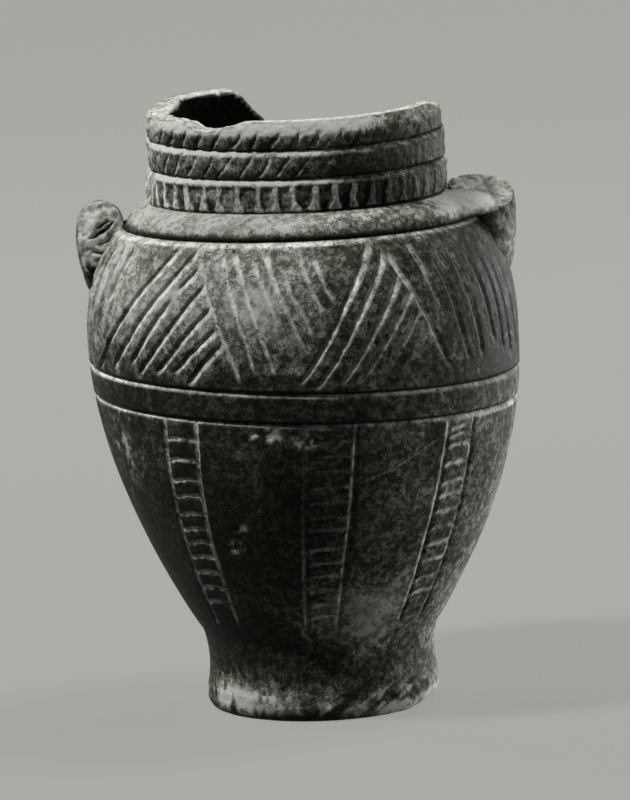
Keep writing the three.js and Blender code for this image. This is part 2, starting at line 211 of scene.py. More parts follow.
def rightward(azimuth, low, high):
    """0 on the left, 1 on the right from the second azimuth on, and 0 again behind."""
    return ease(azimuth, low, high) * (1 - ease(azimuth, 110, 178))


def band_of(value, low, high, soft=0.25):
    """1 between low and high, with soft sides; the far side fades over a third of the band or more."""
    fade = np.maximum(soft, (high - low) / 3)
    return ease(value, low - soft, low + soft / 2) * (1 - ease(value, high - fade, high + soft))


def cuts_made(place, strokes, wander, steep, slope, lit, shaded):
    """The share of a cut's depth at each place, and its mark: pale for lime and painted light on its lit
    wall, and dark for painted shadow on its shaded wall. Strokes run from one azimuth and height to another.
    A cut reaches steep to its left and slope to its right; lit and shaded are the bands of the marks and
    their strengths."""
    azimuth, radius, height = place
    depth, pale, dark = (np.zeros_like(height) for _ in range(3))
    for start_azimuth, start_height, end_azimuth, end_height in strokes:
        middle = (start_azimuth + end_azimuth) / 2
        aside = turned(azimuth, middle)
        reach = abs(end_azimuth - start_azimuth) / 2 + 4
        near = np.nonzero((np.abs(aside) < reach) & (height > min(start_height, end_height) - 2)
                          & (height < max(start_height, end_height) + 2))[0]
        across = np.radians(aside[near] + middle - start_azimuth) * radius[near] + wander[near]
        along = height[near] - start_height
        run = np.radians(end_azimuth - start_azimuth) * radius[near]
        climb = end_height - start_height
        length = np.hypot(run, climb)
        share = (across * run + along * climb) / length ** 2
        inside = held(share)
        past = held(1 - np.abs(share - inside) * length)
        side = (across * climb - along * run) / length
        wall = np.where(side < 0, 1 + side / steep, 1 - side / slope)
        ends = held(np.minimum(inside, 1 - inside) * length / 2.5 + 0.4) * past
        depth[near] = np.maximum(depth[near], held(wall) * ends)
        broad = lit[0] + (lit[1] - lit[0]) * (0.55 + 0.45 * inside)
        pale[near] = np.maximum(pale[near], lit[2] * band_of(side, lit[0], broad) * ends)
        dark[near] = np.maximum(dark[near], shaded[2] * band_of(side, shaded[0], shaded[1], 0.15) * ends)
    return depth, pale - held(dark - pale)


def groove(height, middle):
    """The share of a groove's depth at each height: steep above, and sloping to the light below."""
    above, below = 1 - (height - middle) / GROOVE_STEEP, 1 - (middle - height) / GROOVE_SLOPE
    return held(np.where(height > middle, above, below))


def dress(name, mesh, points, slot, *nodes, finish=None, **marks):
    """Makes a finished piece, burnished unless told otherwise, and says what it stands for."""
    write_points(mesh, points)
    write_marks(mesh, marks)
    mesh.materials.clear()
    mesh.materials.append(finish or burnished)
    mesh.update()
    mesh.shade_smooth()
    mesh.set_sharp_from_angle(angle=math.radians(70))
    piece = placed(name, mesh)
    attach(piece, "root")
    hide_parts(*nodes)


class Wire:
    """A value or colour in a finish. Arithmetic on values adds Math nodes."""

    def __init__(self, finish, socket):
        self.finish, self.socket = finish, socket

    def maths(self, operation, *values):
        return self.finish.maths(operation, *values)

    def __add__(self, other):
        return self.maths("ADD", self, other)

    def __mul__(self, other):
        return self.maths("MULTIPLY", self, other)

    def __sub__(self, other):
        return self.maths("SUBTRACT", self, other)

    def __rsub__(self, other):
        return self.maths("SUBTRACT", other, self)

    def held(self):
        return self.maths("MAXIMUM", self.maths("MINIMUM", self, 1), 0)

    def between(self, low, high):
        """0 at low, 1 at high, smooth in between."""
        values = {"Value": self, "From Min": low, "From Max": high}
        return self.finish.node("ShaderNodeMapRange", {"interpolation_type": "SMOOTHSTEP"}, values)

    __radd__, __rmul__ = __add__, __mul__


class Finish:
    """A node material that is built up from named parts."""

    def __init__(self, name):
        self.material = bpy.data.materials.new(name)
        self.material.use_nodes = True
        self.tree = self.material.node_tree
        self.surface = self.tree.nodes["Principled BSDF"]

    def node(self, kind, settings=None, values=(), output=0):
        made = self.tree.nodes.new(kind)
        for setting, value in (settings or {}).items():
            setattr(made, setting, value)
        for key, value in values.items() if isinstance(values, dict) else enumerate(values):
            self.feed(made.inputs[key], value)
        return Wire(self, made.outputs[output])

    def feed(self, socket, value):
        if isinstance(value, Wire):
            self.tree.links.new(value.socket, socket)
        else:
            socket.default_value = value

    def mark(self, name):
        return self.node("ShaderNodeAttribute", {"attribute_name": name}, output="Fac")

    def maths(self, operation, *values):
        return self.node("ShaderNodeMath", {"operation": operation}, values)

    def place(self, stretch=(1, 1, 1)):
        here = self.node("ShaderNodeTexCoord", output="Object")
        return self.node("ShaderNodeVectorMath", {"operation": "MULTIPLY"}, (here, stretch))

    def speckle(self, place, size, detail=3.0, roughness=0.55):
        """Noise whose patches are about the given size in millimetres."""
        values = {"Vector": place, "Scale": 1 / (size * METRES), "Detail": detail, "Roughness": roughness}
        return self.node("ShaderNodeTexNoise", {}, values, "Fac")

    def blend(self, amount, under, over):
        """One colour laid over another by an amount."""
        return self.node("ShaderNodeMix", {"data_type": "RGBA"}, {0: amount, 6: under, 7: over}, 2)


# The clay's finish: a smoked, burnished dark clay, mottled by the fire and scratched by burial.
# Its pale marks are lime in the cuts with painted light on walls and ledges that face the light, its dark
# marks are painted shadow, and breaks show a pale rough core.
PALE_OF_LIME_AND_LIGHT = (0.72, 0.715, 0.67, 1)


def smoked_clay(name, black=0.006, range_of_tone=75, sheen=0.05):
    """The finish between its black and that many times as pale; a piece's marks steer it."""
    clay = Finish(name)
    here = clay.place()
    patches = clay.speckle(here, 5, 4, 0.6) - 0.5
    small = clay.speckle(here, 1.7, 4, 0.55) - 0.5
    fine = clay.speckle(here, 0.5, 2, 0.6) - 0.5
    streaks = clay.speckle(clay.place((1, 1, 0.16)), 0.9, 3, 0.6) - 0.5
    tone, line, broken = (clay.mark(name) for name in ("tone", "line", "broken"))
    flecks = clay.speckle(clay.place((1, 1, 0.8)), 1.3, 3, 0.7).between(0.62, 0.7)
    blotches = small.between(-0.12, 0.12) * 0.36 - 0.18
    pits = 1 - clay.speckle(here, 1.0, 3, 0.6).between(0.34, 0.43)
    mottle = patches * 0.8 + blotches + fine * 0.85 + streaks * 0.25 - pits * 0.3
    ground = tone + mottle * ((1 - tone) * tone * 2.4 + 0.25) + flecks * 0.16
    # A piece's line mark is pale above 0, as lime with painted light, and dark below 0, as painted shadow.
    lime_and_painted_light = (line + mottle * line * 1.8).held()
    painted_shadow = (0 - line).held()
    ground = ground * (1 - painted_shadow * 0.95)
    torn = (broken + small * 0.6).between(0.3, 0.6)
    core = 0.86 + patches * 0.5 + small * 0.9
    shade = (ground + (core - ground) * torn).held()
    tint = clay.blend(shade, (1, 0.98, 0.62, 1), (1, 1, 0.94, 1))
    grey = clay.blend(clay.maths("POWER", range_of_tone, shade) * black, (0, 0, 0, 1), tint)
    roughness = 0.48 + patches * 0.25 + shade * 0.4
    height = small * 0.55 + fine * 0.45 + streaks * 0.15 + torn * (small + fine) * 0.6
    bump = clay.node("ShaderNodeBump", {}, {"Strength": 0.6, "Distance": 0.4 * METRES, "Height": height})
    clay.feed(clay.surface.inputs["Base Color"], clay.blend(lime_and_painted_light, grey, PALE_OF_LIME_AND_LIGHT))
    clay.feed(clay.surface.inputs["Roughness"], roughness.held())
    clay.feed(clay.surface.inputs["Normal"], bump)
    clay.feed(clay.surface.inputs["Specular IOR Level"], sheen)
    return clay.material


burnished = smoked_clay("burnished_clay")

LADDER_TOP, LADDER_FOOT = 77.6, 24.5
# The three ladders on the front: azimuths of both rails at the top and at the foot, then the rungs' heights.
front_ladders = [
    ((-41, -52), (-31, -39), (72.6, 67.4, 62.3, 58.3, 53.7, 49.8, 46.3, 42.6, 38.6, 34.4, 30.7)),
    ((-1, -6), (13, 8), (73.5, 69.8, 66.0, 62.0, 58.0, 54.0, 50.8, 45.4, 41.4, 37.8, 33.9, 29.9, 26.5)),
    ((41, 37), (51, 50), (74.7, 72.6, 70.1, 65.4, 60.3, 56.8, 52.7, 48.3, 44.0, 39.8, 34.8, 31.0)),
]
BACK_LADDERS_AT, RUNG_STEP = (96, 139, 181, 225, 268), 4.2
shake = np.random.default_rng(4)
back_ladders = [
    ((middle - 6, middle - 6), (middle + 6, middle + 5),
     np.arange(29, 76, RUNG_STEP) + shake.uniform(-0.8, 0.8, 12))
    for middle in BACK_LADDERS_AT
]
# How the rails and the rungs of each ladder show: the pale band across a cut and its strength, lime with
# painted light on the wall that faces the lamps, then the dark band and its strength, painted shadow on the
# other wall, in millimetres to the right of the cut's bottom or above it.
THIN_PALE, NO_BAND = (-0.3, 0.25, 1.0), (0, 0, 0)
looks = [
    ((THIN_PALE, NO_BAND), ((-0.4, 0.5, 1.0), NO_BAND), ((-0.3, 0.45, 1.0), (-1.3, -0.5, 0.5))),
    (((-0.5, 0.4, 0.5), (0.5, 1.3, 0.8)), ((-1.0, 0.1, 0.5), (0.3, 1.9, 1.0)),
     ((-0.3, 0.5, 0.6), (-0.9, -0.3, 0.8))),
    (((-1.0, 0.3, 0.85), (0.4, 1.4, 1.0)), ((-1.2, -0.5, 0.45), (-0.3, 0.8, 1.0)),
     ((-0.4, 0.8, 0.8), (-1.3, -0.5, 1.0))),
]
BACK_RAIL, BACK_RUNG = ((-0.3, 0.4, 0.7), (-0.8, -0.4, 0.6)), ((-0.4, 0.4, 0.5), (-1.1, -0.6, 0.5))
looks += len(back_ladders) * [(BACK_RAIL, BACK_RAIL, BACK_RUNG)]
# Flakes that have sprung off: azimuth, height, half their width and half their height.
flakes = [
    (-15, 75.6, 1.6, 1.4), (-10, 75.2, 3.0, 2.2), (-1, 74.6, 3.6, 2.4), (-24, 51.5, 2.2, 1.2),
    (-27, 46.5, 2.4, 2.0),
]


def foot_outside(height):
    """The outside from the bead up: the foot's drawn-in waist, and the body above it."""
    waist = FOOT_RADIUS - WAIST_INSET + WAIST_INSET * ((height - WAIST) / (FOOT_TOP - WAIST)) ** 2
    return np.where(height < FOOT_TOP, waist, outer_radius(height))


def open_fold(points):
    """Where the fold between the foot and its bead has stayed open: in places on the right."""
    return band_of(polar(points)[0], 22, 56, 8) * held(0.5 + 1.3 * grain(points, 5, 7))


def lime_wash(points):
    """Lime that has run down the foot on the left, in streaks."""
    azimuth, _, height = polar(points)
    streaks = np.clip(0.9 + 0.5 * grain(points * (1, 1, 0.25), 1.1, 23) + 0.5 * grain(points, 4, 26), 0, 1.2)
    return patch(azimuth, height, -44, 5.5, 18, 5) * streaks


def smears(points):
    """Slanting smears of lime that a rubbing hand has left low on the right of the foot."""
    azimuth, _, height = polar(points)
    x, y, z = points.T
    smear = grain(np.column_stack(((x - 1.6 * z) / 1.5, (1.6 * x + z) / 7, y / 6)), 1, 30)
    smear += 0.5 * grain(points, 1.3, 33)
    return band_of(azimuth, 4, 74, 10) * (1 - ease(height, 5.5, 9.5)) * smear


lower_mesh = raised_ring(
    "lower_body",
    face(foot_outside, [*steps(FOLD_TOP, 22, 0.9), *steps(22.5, GIRDLE_LOW, 0.52)]),
    face(inner_radius, steps(FLOOR + 0.2, GIRDLE_LOW, 9)),
    720,
)
points, azimuth, radius, height = measured(lower_mesh)
outside = radius > foot_outside(height) - SKIN
wander = 0.3 * grain(points, 12, 5) + 0.12 * grain(points, 2.5, 6)
cut, line = np.zeros_like(height), np.zeros_like(height)
for (left, right, heights), (left_look, right_look, rung_look) in zip(front_ladders + back_ladders, looks):
    for rail, look in ((left, left_look), (right, right_look)):
        made, mark = cuts_made((azimuth, radius, height), [(rail[1], LADDER_FOOT, rail[0], LADDER_TOP)],
                               wander, 0.6, 0.8, *look)
        cut = np.maximum(cut, made)
        line = np.where(np.abs(mark) > np.abs(line), mark, line)
    for rung in heights:
        share = (LADDER_TOP - rung) / (LADDER_TOP - LADDER_FOOT)
        start, end = (side[0] + (side[1] - side[0]) * share for side in (left, right))
        aside = np.radians(turned(azimuth, (start + end) / 2)) * radius
        half = np.radians((end - start) / 2) * radius
        sag = height - rung - 0.35 * (aside / half) - 0.5 * (1 - (aside / half) ** 2) - 1.6 * wander
        within = held((half - np.abs(aside)) / 1.2 + 0.2)
        cut = np.maximum(cut, 0.8 * within * held(1 - np.abs(sag) / 0.9))
        (low, high, pale), (dark_low, dark_high, dark) = rung_look
        mark = pale * band_of(sag, low, high) - dark * band_of(sag, dark_low, dark_high)
        mark = mark * within * held(0.9 + 0.8 * grain(points, 2.5, 14))
        line = np.where(np.abs(mark) > np.abs(line), mark, line)
# The middle ladder is faint above and clearest at its foot.
middle = band_of(azimuth, -8, 12, 4)
line *= 1 + middle * (0.7 * ease(-height, -36, -29) - 0.75 * ease(height, 40, 54) * (azimuth < 9))
cut *= 1 - 0.5 * middle * ease(height, 52, 60) * (azimuth < 9)
line *= np.clip(0.92 + 0.7 * grain(points, 2.6, 29), 0.3, 1.25)
girdle_line = groove(height, GIRDLE_LOW)
bead_line = held(1 - (height - FOLD_TOP) / 1.6) * open_fold(points)
chip = sum(held(1.25 * patch(azimuth, height, *flake) - 0.25) for flake in flakes)
loss = unevenness(points) + 0.7 * cut + GROOVE_DEPTH * girdle_line + 0.7 * bead_line
loss += 0.45 * chip * (1 + 0.5 * grain(points, 1.5, 8))
# The groove's lower edge faces up and is pale, lime with painted light that is strongest on the left, and
# crumbs in the flakes hold lime.
edge = 0.35 + 0.45 * rightward(-azimuth, 5, 50) + 0.12 * rightward(azimuth, 20, 50)
edge += 0.3 * grain(points, 3, 19)
edge_foot = GIRDLE_LOW - 0.8 - 0.3 * rightward(azimuth, 30, 55)
line = np.maximum(line, edge * band_of(height, edge_foot, GIRDLE_LOW - 0.05, 0.3))
crumbs = held(0.15 + 2.4 * grain(points, 1.2, 20) + 0.8 * grain(points, 0.6, 31))
line = np.maximum(line, 0.9 * chip * crumbs)
# Root marks: hair-thin pale lines, each from one azimuth and height to the next.
for hairs in [
    ((10, 37.5), (14, 33), (25, 30.8), (31, 30.5)), ((-7, 34.5), (0, 36.5), (9, 38)),
    ((14, 63.5), (24, 66.5), (31, 70), (37, 73)), ((29, 64), (33, 61.5), (35, 59)),
]:
    for (start, start_height), (end, end_height) in zip(hairs, hairs[1:]):
        _, hair = cuts_made((azimuth, radius, height), [(start, start_height, end, end_height)], 1.5 * wander,
                            0.2, 0.2, (-0.08, 0.08, 0.55), NO_BAND)
        line = np.maximum(line, hair)
# The wall is darker on the left and greyer on the right, with clouds here and there: their
# azimuth, height, half width and half height, and how much paler they are.
# Painted sheen: the far right flank, and the right flank low down, are made paler where a soft highlight
# lies.
tone = 0.3 + 0.3 * rightward(azimuth, -15, 25) + 0.1 * rightward(azimuth, 66, 82)
tone += (0.18 - 0.18 * ease(height, 48, 72)) * rightward(azimuth, 50, 72)
tone += ease(-height, -24, -12) * (0.1 * rightward(-azimuth, 20, 60) - 0.05 * rightward(azimuth, 35, 60))
for *cloud, paler in [
    (-74, 30, 16, 18, -0.22), (-14, 46, 9, 8, 0.14), (18, 27, 16, 10, 0.22), (-8, 27, 9, 8, 0.1),
    (-84, 44, 7, 24, 0.3), (-2, 31, 12, 12, 0.14), (4, 12, 10, 4, -0.12),
]:
    tone += paler * patch(azimuth, height, *cloud)
blots = np.clip(0.45 + 1.0 * grain(points, 3.2, 25) + 0.9 * grain(points, 1.1, 32), 0, 1.4)
tone += patch(azimuth, height, -62, 67, 10, 14) * (0.14 + 0.42 * blots)
tone += 0.2 * patch(azimuth, height, 12, 21.5, 18, 2.2) * np.clip(0.7 + grain(points, 2.5, 24), 0, 1.3)
tone += 0.75 * lime_wash(points) + 0.5 * smears(points)
tone += 0.12 * grain(points, 9, 61) + 0.08 * grain(points, 3.5, 62)
points = lean(from_polar(azimuth, radius - np.where(outside, loss, 0), height))
dress("lower_body", lower_mesh, points, "burnished_clay", "lower_wall", "foot_wall",
      line=line * outside, broken=0.38 * chip * outside, tone=tone)

# The foot's bead: a coil pressed round the base disc, never burnished. It is rubbed pale where the
# jar has stood, and worn away to a slope on the right.
WEAR_WIDTH, WEAR_RISE = 7.7, 2.6
DISC_RADIUS = FOOT_RADIUS - FOOT_WALL + 3.4
BEAD_RADIUS = FOOT_RADIUS - 0.6


def bead_outside(height):
    """The round outside of the coil."""
    swell = 1 - (2 * height / BEAD_TOP - 1) ** 2
    return BEAD_RADIUS - 1.8 + 1.8 * np.sqrt(held(swell))


bead_heights = BEAD_TOP * (1 - np.cos(np.linspace(0, np.pi, 25))) / 2
bead_mesh = raised_ring(
    "rubbed_bead",
    [*face(bead_outside, bead_heights), (FOOT_RADIUS - 2.4, FOLD_TOP)],
    [(DISC_RADIUS + 0.15, 0.0), (DISC_RADIUS + 0.15, FOLD_TOP)],
    520,
)
points, azimuth, radius, height = measured(bead_mesh)
rim_side = radius > DISC_RADIUS + 1
rough = grain(points, 3.2, 12)
loss = 0.1 + 0.35 * np.abs(rough) + 0.5 * held(grain(points, 5, 13)) * ease(height, 2, 5)
loss += (unevenness(points) - loss) * ease(height, 4.8, 6.4)
# Clay smeared over the joint with the foot fills most of it; the fold stays open on the right.
smeared = ease(height, 3.4, 5.2) * (1 - open_fold(points))
flush = np.minimum(foot_outside(height), BEAD_RADIUS)
radius += np.where(rim_side, np.maximum(flush - radius, 0) * smeared, 0)
points = lean(from_polar(azimuth, np.where(rim_side, radius - loss, radius), height))
worn_in = np.clip((points[:, 0] - (BEAD_RADIUS - WEAR_WIDTH)) / WEAR_WIDTH, 0, 1.2)
slope = worn_in * WEAR_RISE * (1 + 0.2 * rough)
worn = (points[:, 2] < slope + 0.2).astype(float)
points[:, 2] = np.maximum(points[:, 2], np.where(rim_side, slope, points[:, 2]))
tone = 0.44 - 0.2 * ease(-height, -2.5, -1) * rightward(-azimuth, -20, 20) + 0.15 * rightward(azimuth, 45, 75)
tone += (0.24 * grain(points, 4, 63) + 0.14 * grain(points, 1.8, 64)) * ease(-height, -6.4, -4.5)
tone += 0.8 * lime_wash(points) + 0.42 * smears(points) + 0.26 * rightward(azimuth, 10, 32)
# Painted light: the bead's foot on the right is made paler, over the shade that lies there.
tone += 0.3 * ease(-height, -4.5, -2) * (rightward(azimuth, 0, 25) + rightward(azimuth, 22, 40))
dress("rubbed_bead", bead_mesh, points, "base_clay", "foot_bead", line=0, broken=0.3 * worn, tone=tone)

# The base disc: the slab of clay on which the jar was started. It keeps the solid's own flat mesh, in
# a plain clay that was never burnished.
base_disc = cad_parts["base_disc"]
base_disc.data.materials.clear()
base_disc.data.materials.append(smoked_clay("disc_clay", 0.08, 2))

# The girdle: a plain band left standing between two cut grooves that go round the belly. It is the
# same dark clay as the wall below and is burnished flush with it.
girdle_mesh = raised_ring(
    "girdle_band",
    face(outer_radius, steps(GIRDLE_LOW, GIRDLE_HIGH, 0.3)),
    face(inner_radius, steps(GIRDLE_LOW, GIRDLE_HIGH, 4)),
    720,
)
points, azimuth, radius, height = measured(girdle_mesh)
outside = radius > outer_radius(height) - SKIN
lines = np.where(outside, np.maximum(groove(height, GIRDLE_LOW), groove(height, GIRDLE_HIGH)), 0)
loss = np.where(outside, unevenness(points) + GROOVE_DEPTH * lines, 0)
tone = 0.28 + 0.2 * rightward(azimuth, -10, 30) + 0.2 * rightward(-azimuth, 58, 78)
tone += 0.22 * rightward(azimuth, 50, 75)
tone += 0.1 * grain(points, 9, 61) + 0.08 * grain(points, 2.5, 65)
# Painted light and shade: the top edge, which faces up into the upper groove, is paler and most on the left,
# with lime; the lower groove's upper wall is darkened as its shadow.
edge = 0.35 + 0.4 * rightward(-azimuth, 10, 50) + 0.3 * grain(points, 3, 19)
line = edge * band_of(height, GIRDLE_HIGH - 0.8, GIRDLE_HIGH - 0.05, 0.3)
line -= band_of(height, GIRDLE_LOW, GIRDLE_LOW + 0.5, 0.2)
points = lean(from_polar(azimuth, radius - loss, height))
dress("girdle_band", girdle_mesh, points, "burnished_clay", "girdle",
      line=line * outside, broken=0, tone=tone)

# The shoulder: the top strap of the body, burnished and then cut all round with triangles that point
# up and down by turns. Those that point up are hatched one way, and those that point down the other.
REPEATS, FIRST_PEAK, HATCH_DEPTH = 6, -12, 0.95
HATCH_FOOT, HATCH_HEAD = 88, 120
# The strokes on the front, each from its foot to its head: azimuth and height, azimuth and height.
front_hatching = [
    (-69, 87.7, -39, 120.6), (-60, 88.9, -32, 120.1), (-52, 90.7, -38, 107.6), (-35.5, 110.5, -30, 115.8),
    (-49, 88, -27, 112.6), (-42, 89.3, -25, 106.9), (-36, 89.9, -24, 101), (-32, 87.2, -22, 97.7),
    (-17, 89, -31, 119.3), (-13, 91.7, -24, 119.8), (-8, 91.4, -20, 119.8), (-7, 103.9, -14, 117.1),
    (0, 96.4, -11, 119.7), (2, 100.5, -5, 113.9), (5, 105.7, -1, 119.3), (8, 108.8, 3, 120.2),
    (-1, 89.2, 20, 120.8), (3, 88, 24, 118), (9, 88.9, 27, 112.6), (14, 89.5, 30, 109.7),
    (20, 89.9, 31, 105), (29, 94.2, 34, 101.4),
    (41, 90.8, 26, 117.4), (39, 105.5, 34, 119.1), (48, 92, 41, 116), (45, 112.4, 43, 118), (54, 92, 48, 117),
    (60, 95, 54, 119), (66, 92, 60, 118), (72, 90, 65, 116), (78, 91, 71, 117), (84, 90, 78, 112),
    (-76, 100, -73, 118), (-69, 99, -66, 119), (-64, 106, -60, 119), (-83, 92, -80, 110),
]


def upright_triangle(peak, shake):
    """Strokes that lean right and end on the triangle's right side."""
    strokes = []
    for foot in np.arange(peak - 30, peak + 14, 7):
        share = min(1, (peak + 19.5 - foot) / 47) - 0.04
        strokes.append((foot + shake.uniform(-1, 1), HATCH_FOOT + shake.uniform(0, 1.5),
                        foot + 30 * share, HATCH_FOOT + 32 * share))
    return strokes


def hanging_triangle(peak, shake):
    """Strokes that lean left and start at the shoulder groove, between two upright triangles."""
    strokes = []
    for head in np.arange(peak + 4, peak + 54, 6.5):
        share = min(1, (peak + 56 - head) / 40) - 0.04
        strokes.append((head + 15 * share, HATCH_HEAD - 31 * share,
                        head + shake.uniform(-1, 1), HATCH_HEAD - 0.5 + shake.uniform(-0.5, 0.8)))
    return strokes


hatching = list(front_hatching)
for turn in range(2, REPEATS - 1):
    peak = FIRST_PEAK + turn * 360 / REPEATS
    shake = np.random.default_rng(turn)
    hatching += upright_triangle(peak, shake) + hanging_triangle(peak, shake)

shoulder_mesh = raised_ring(
    "hatched_shoulder",
    face(outer_radius, steps(GIRDLE_HIGH, SHOULDER, 0.4)),
    face(inner_radius, steps(GIRDLE_HIGH, SHOULDER, 7)),
    1000,
)
points, azimuth, radius, height = measured(shoulder_mesh)
outside = radius > outer_radius(height) - SKIN
wander = 0.4 * grain(points, 10, 15) + 0.2 * grain(points, 2.5, 16)
place = (azimuth, radius, height)
rising = [stroke for stroke in hatching if stroke[2] > stroke[0]]
falling = [stroke for stroke in hatching if stroke[2] <= stroke[0]]
cut, line = cuts_made(place, rising, wander, 0.5, 1.5, (0.1, 2.0, 0.62), (-0.6, 0.0, 1.0))
soft_cut, soft_line = cuts_made(place, falling, wander, 0.9, 1.1, (-0.5, 1.1, 0.58), (-0.9, -0.5, 0.25))
# On the right the strokes show faintly, and the falling cuts are painted dark as shade.
faint = 1 - 0.75 * ease(azimuth, 30, 42) * (1 - ease(azimuth, 100, 140))
line = np.where(line > 0, line * faint, line)
soft_line = soft_line * faint - 0.35 * (1 - faint) * held(soft_cut * 2 - 1)
line = np.where(np.abs(soft_line) > np.abs(line), soft_line, line)
line *= np.clip(0.95 + 0.5 * grain(points, 3, 29), 0.4, 1.2)
cut = np.maximum(cut, soft_cut * (0.4 + 0.4 * faint))
lines = np.maximum(groove(height, GIRDLE_HIGH), groove(height, SHOULDER))
pits = held(grain(points, 1.6, 17) * 0.6 + grain(points, 0.9, 18) * 0.4 - 0.15)
loss = unevenness(points) + HATCH_DEPTH * cut + GROOVE_DEPTH * lines + 0.35 * pits * ease(height, 88, 96)
# Painted light and shade: the top edge under the coil, which faces up, is paler and broadest on the left,
# with lime; the groove's upper wall over the girdle is darkened as its shadow.
broad = 1 - rightward(azimuth, 0, 30)
edge = 0.3 + 0.4 * broad + 0.2 * grain(points, 3, 19)
line = np.maximum(line, edge * band_of(height, SHOULDER - 0.6 - 0.4 * broad, SHOULDER - 0.05, 0.3))
line -= band_of(height, GIRDLE_HIGH, GIRDLE_HIGH + 0.5, 0.2)
# The shoulder is paler towards its top, on the left and on its upper left, partly dust and partly painted
# light where the light falls; it is darker on the right.
left_side = 1 - 0.7 * rightward(azimuth, -2, 14) - 0.3 * rightward(azimuth, 14, 42)
tone = 0.44 + 0.34 * ease(height, 86, 102) * left_side
tone += 0.05 * rightward(azimuth, 15, 35) - 0.22 * rightward(azimuth, 45, 65)
tone += 0.12 * grain(points, 8, 66) + 0.14 * grain(points, 2.6, 67) * (1 - ease(height, 100, 112) * 0.5)
tone += 0.14 * patch(azimuth, height, -8, 109, 6, 5) + 0.1 * rightward(-azimuth, 50, 70)
tone += 0.18 * patch(azimuth, height, -38, 108, 17, 13)
points = lean(from_polar(azimuth, radius - np.where(outside, loss, 0), height))
dress("hatched_shoulder", shoulder_mesh, points, "burnished_clay", "shoulder_wall",
      line=line * outside, broken=0, tone=tone)

# The neck roll: a thick coil laid over the joint of neck and shoulder, smoothed on and left plain.
# It was drawn out into both handles.
NECK_OUTSIDE = 35.2
ROLL_FOOT, ROLL_CROWN = SHOULDER_RADIUS - GROOVE_DEPTH, 37.0
LEFT_SCAR, RIGHT_SCAR = -86, 90


def roll_outside(height):
    """Swells at once above the shoulder groove, and rounds over to the bands."""
    share = held((height - SHOULDER) / (ROLL_TOP - SHOULDER))
    return ROLL_CROWN + (ROLL_FOOT - ROLL_CROWN) * (1 - share ** 2.3) ** 0.62


def scar(azimuth):
    """1 along the lines up the neck where the handles have been torn off."""
    return np.exp(-(turned(azimuth, LEFT_SCAR) / 21) ** 4) + np.exp(-(turned(azimuth, RIGHT_SCAR) / 13) ** 4)


roll_mesh = raised_ring(
    "neck_coil",
    face(roll_outside, ROLL_TOP - (ROLL_TOP - SHOULDER) * np.linspace(1, 0, 34) ** 1.5),
    [(NECK_OUTSIDE - 1, SHOULDER), (NECK_OUTSIDE - 1, ROLL_TOP)],
    720,
)
points, azimuth, radius, height = measured(roll_mesh)
outside = radius > NECK_OUTSIDE
fold = held(1 - (height - SHOULDER) / 0.9)
loss = unevenness(points) + 0.6 * fold + 0.25 * np.abs(grain(points, 3, 21))
loss += 0.3 * held(grain(points, 1.5, 22))
# Painted light: the coil's upper side, which faces up, is paler, and more so on the left.
left_side = 1 - rightward(azimuth, -15, 15)
pale_from, pale_at = SHOULDER + 1.1 - 0.4 * left_side, SHOULDER + 3.4 - 0.7 * left_side
tone = 0.57 + (0.25 + 0.13 * left_side) * ease(height, pale_from, pale_at)
tone += (0.08 * grain(points, 7, 68) + 0.06 * grain(points, 2, 69)) * (1 - 0.5 * left_side)
tone += 0.24 * band_of(azimuth, 56, 84, 8) - 0.15 * ease(azimuth, 25, 45) * (1 - ease(azimuth, 48, 62))
# The coil runs out into the right handle. On the left it has been torn down to a rough slope.
drawn = 6.5 * np.exp(-(turned(azimuth, RIGHT_SCAR) / 20) ** 4) * ease(height, SHOULDER, SHOULDER + 1.2)
torn = np.exp(-(turned(azimuth, LEFT_SCAR) / 19) ** 4)
slope = ROLL_FOOT + 0.6 - (ROLL_FOOT - 36.2) * held((height - SHOULDER) / (ROLL_TOP - SHOULDER))
slope += 0.35 * grain(points, 2.2, 27) + 0.25 * grain(points, 1.1, 28)
radius += np.where(outside, drawn - torn * np.maximum(radius - slope, 0), 0)
# Painted shadow: the coil's foot over the shoulder groove is darkened.
shade_under_coil = held(1 - (height - SHOULDER) / 1.7)
points = lean(from_polar(azimuth, radius - np.where(outside, loss, 0), height))
dress("neck_coil", roll_mesh, points, "burnished_clay", "neck_roll",
      line=-1.2 * shade_under_coil * outside, broken=0, tone=tone)

# The broken rim: the back right of the neck is gone, and the rim is worn low at the front left.
# Each azimuth on the left has the height at which the break runs there.
break_line = [
    (-180, 135.5), (-174, 138.5), (-168, 142.7), (-161, 146.6), (-156, 149.9), (-151, 152.2), (-145, 152.6),
    (-143, 151.5), (-141, 152.6), (-128, 152.4), (-117, 151.9), (-110, 150.8), (-98, 149.8), (-84, 149.7),
    (-62, 150.0), (-50, 149.7), (-45, 148.6), (-38, 147.9), (-32, 148.1), (-26, 149.0), (-18, 150.2),
    (60, 151.8), (74, 150.6), (88, 148.5), (100, 145.5), (112, 142), (126, 138.5), (142, 136), (160, 134.6),
    (180, 135.5),
]
RIM_PEAK, NECK_MIDDLE = 151.8, 34
CUT_INNER, CUT_OUTER, CUT_LOW, CUT_HIGH = 25.0, 45.0, 130.0, 165.0


def break_height(points):
    """How high the rough break runs at each point; it falls off to both faces of the neck."""
    azimuth, radius, _ = polar(points)
    line = np.array(break_line)
    rough = 0.4 * grain(points * (1, 1, 0), 3.5, 31) + 0.25 * grain(points * (1, 1, 0), 1.2, 37)
    height = np.interp(azimuth, line[:, 0], line[:, 1]) + rough - 0.12 * np.abs(radius - NECK_MIDDLE)
    return np.minimum(height, RIM_PEAK)


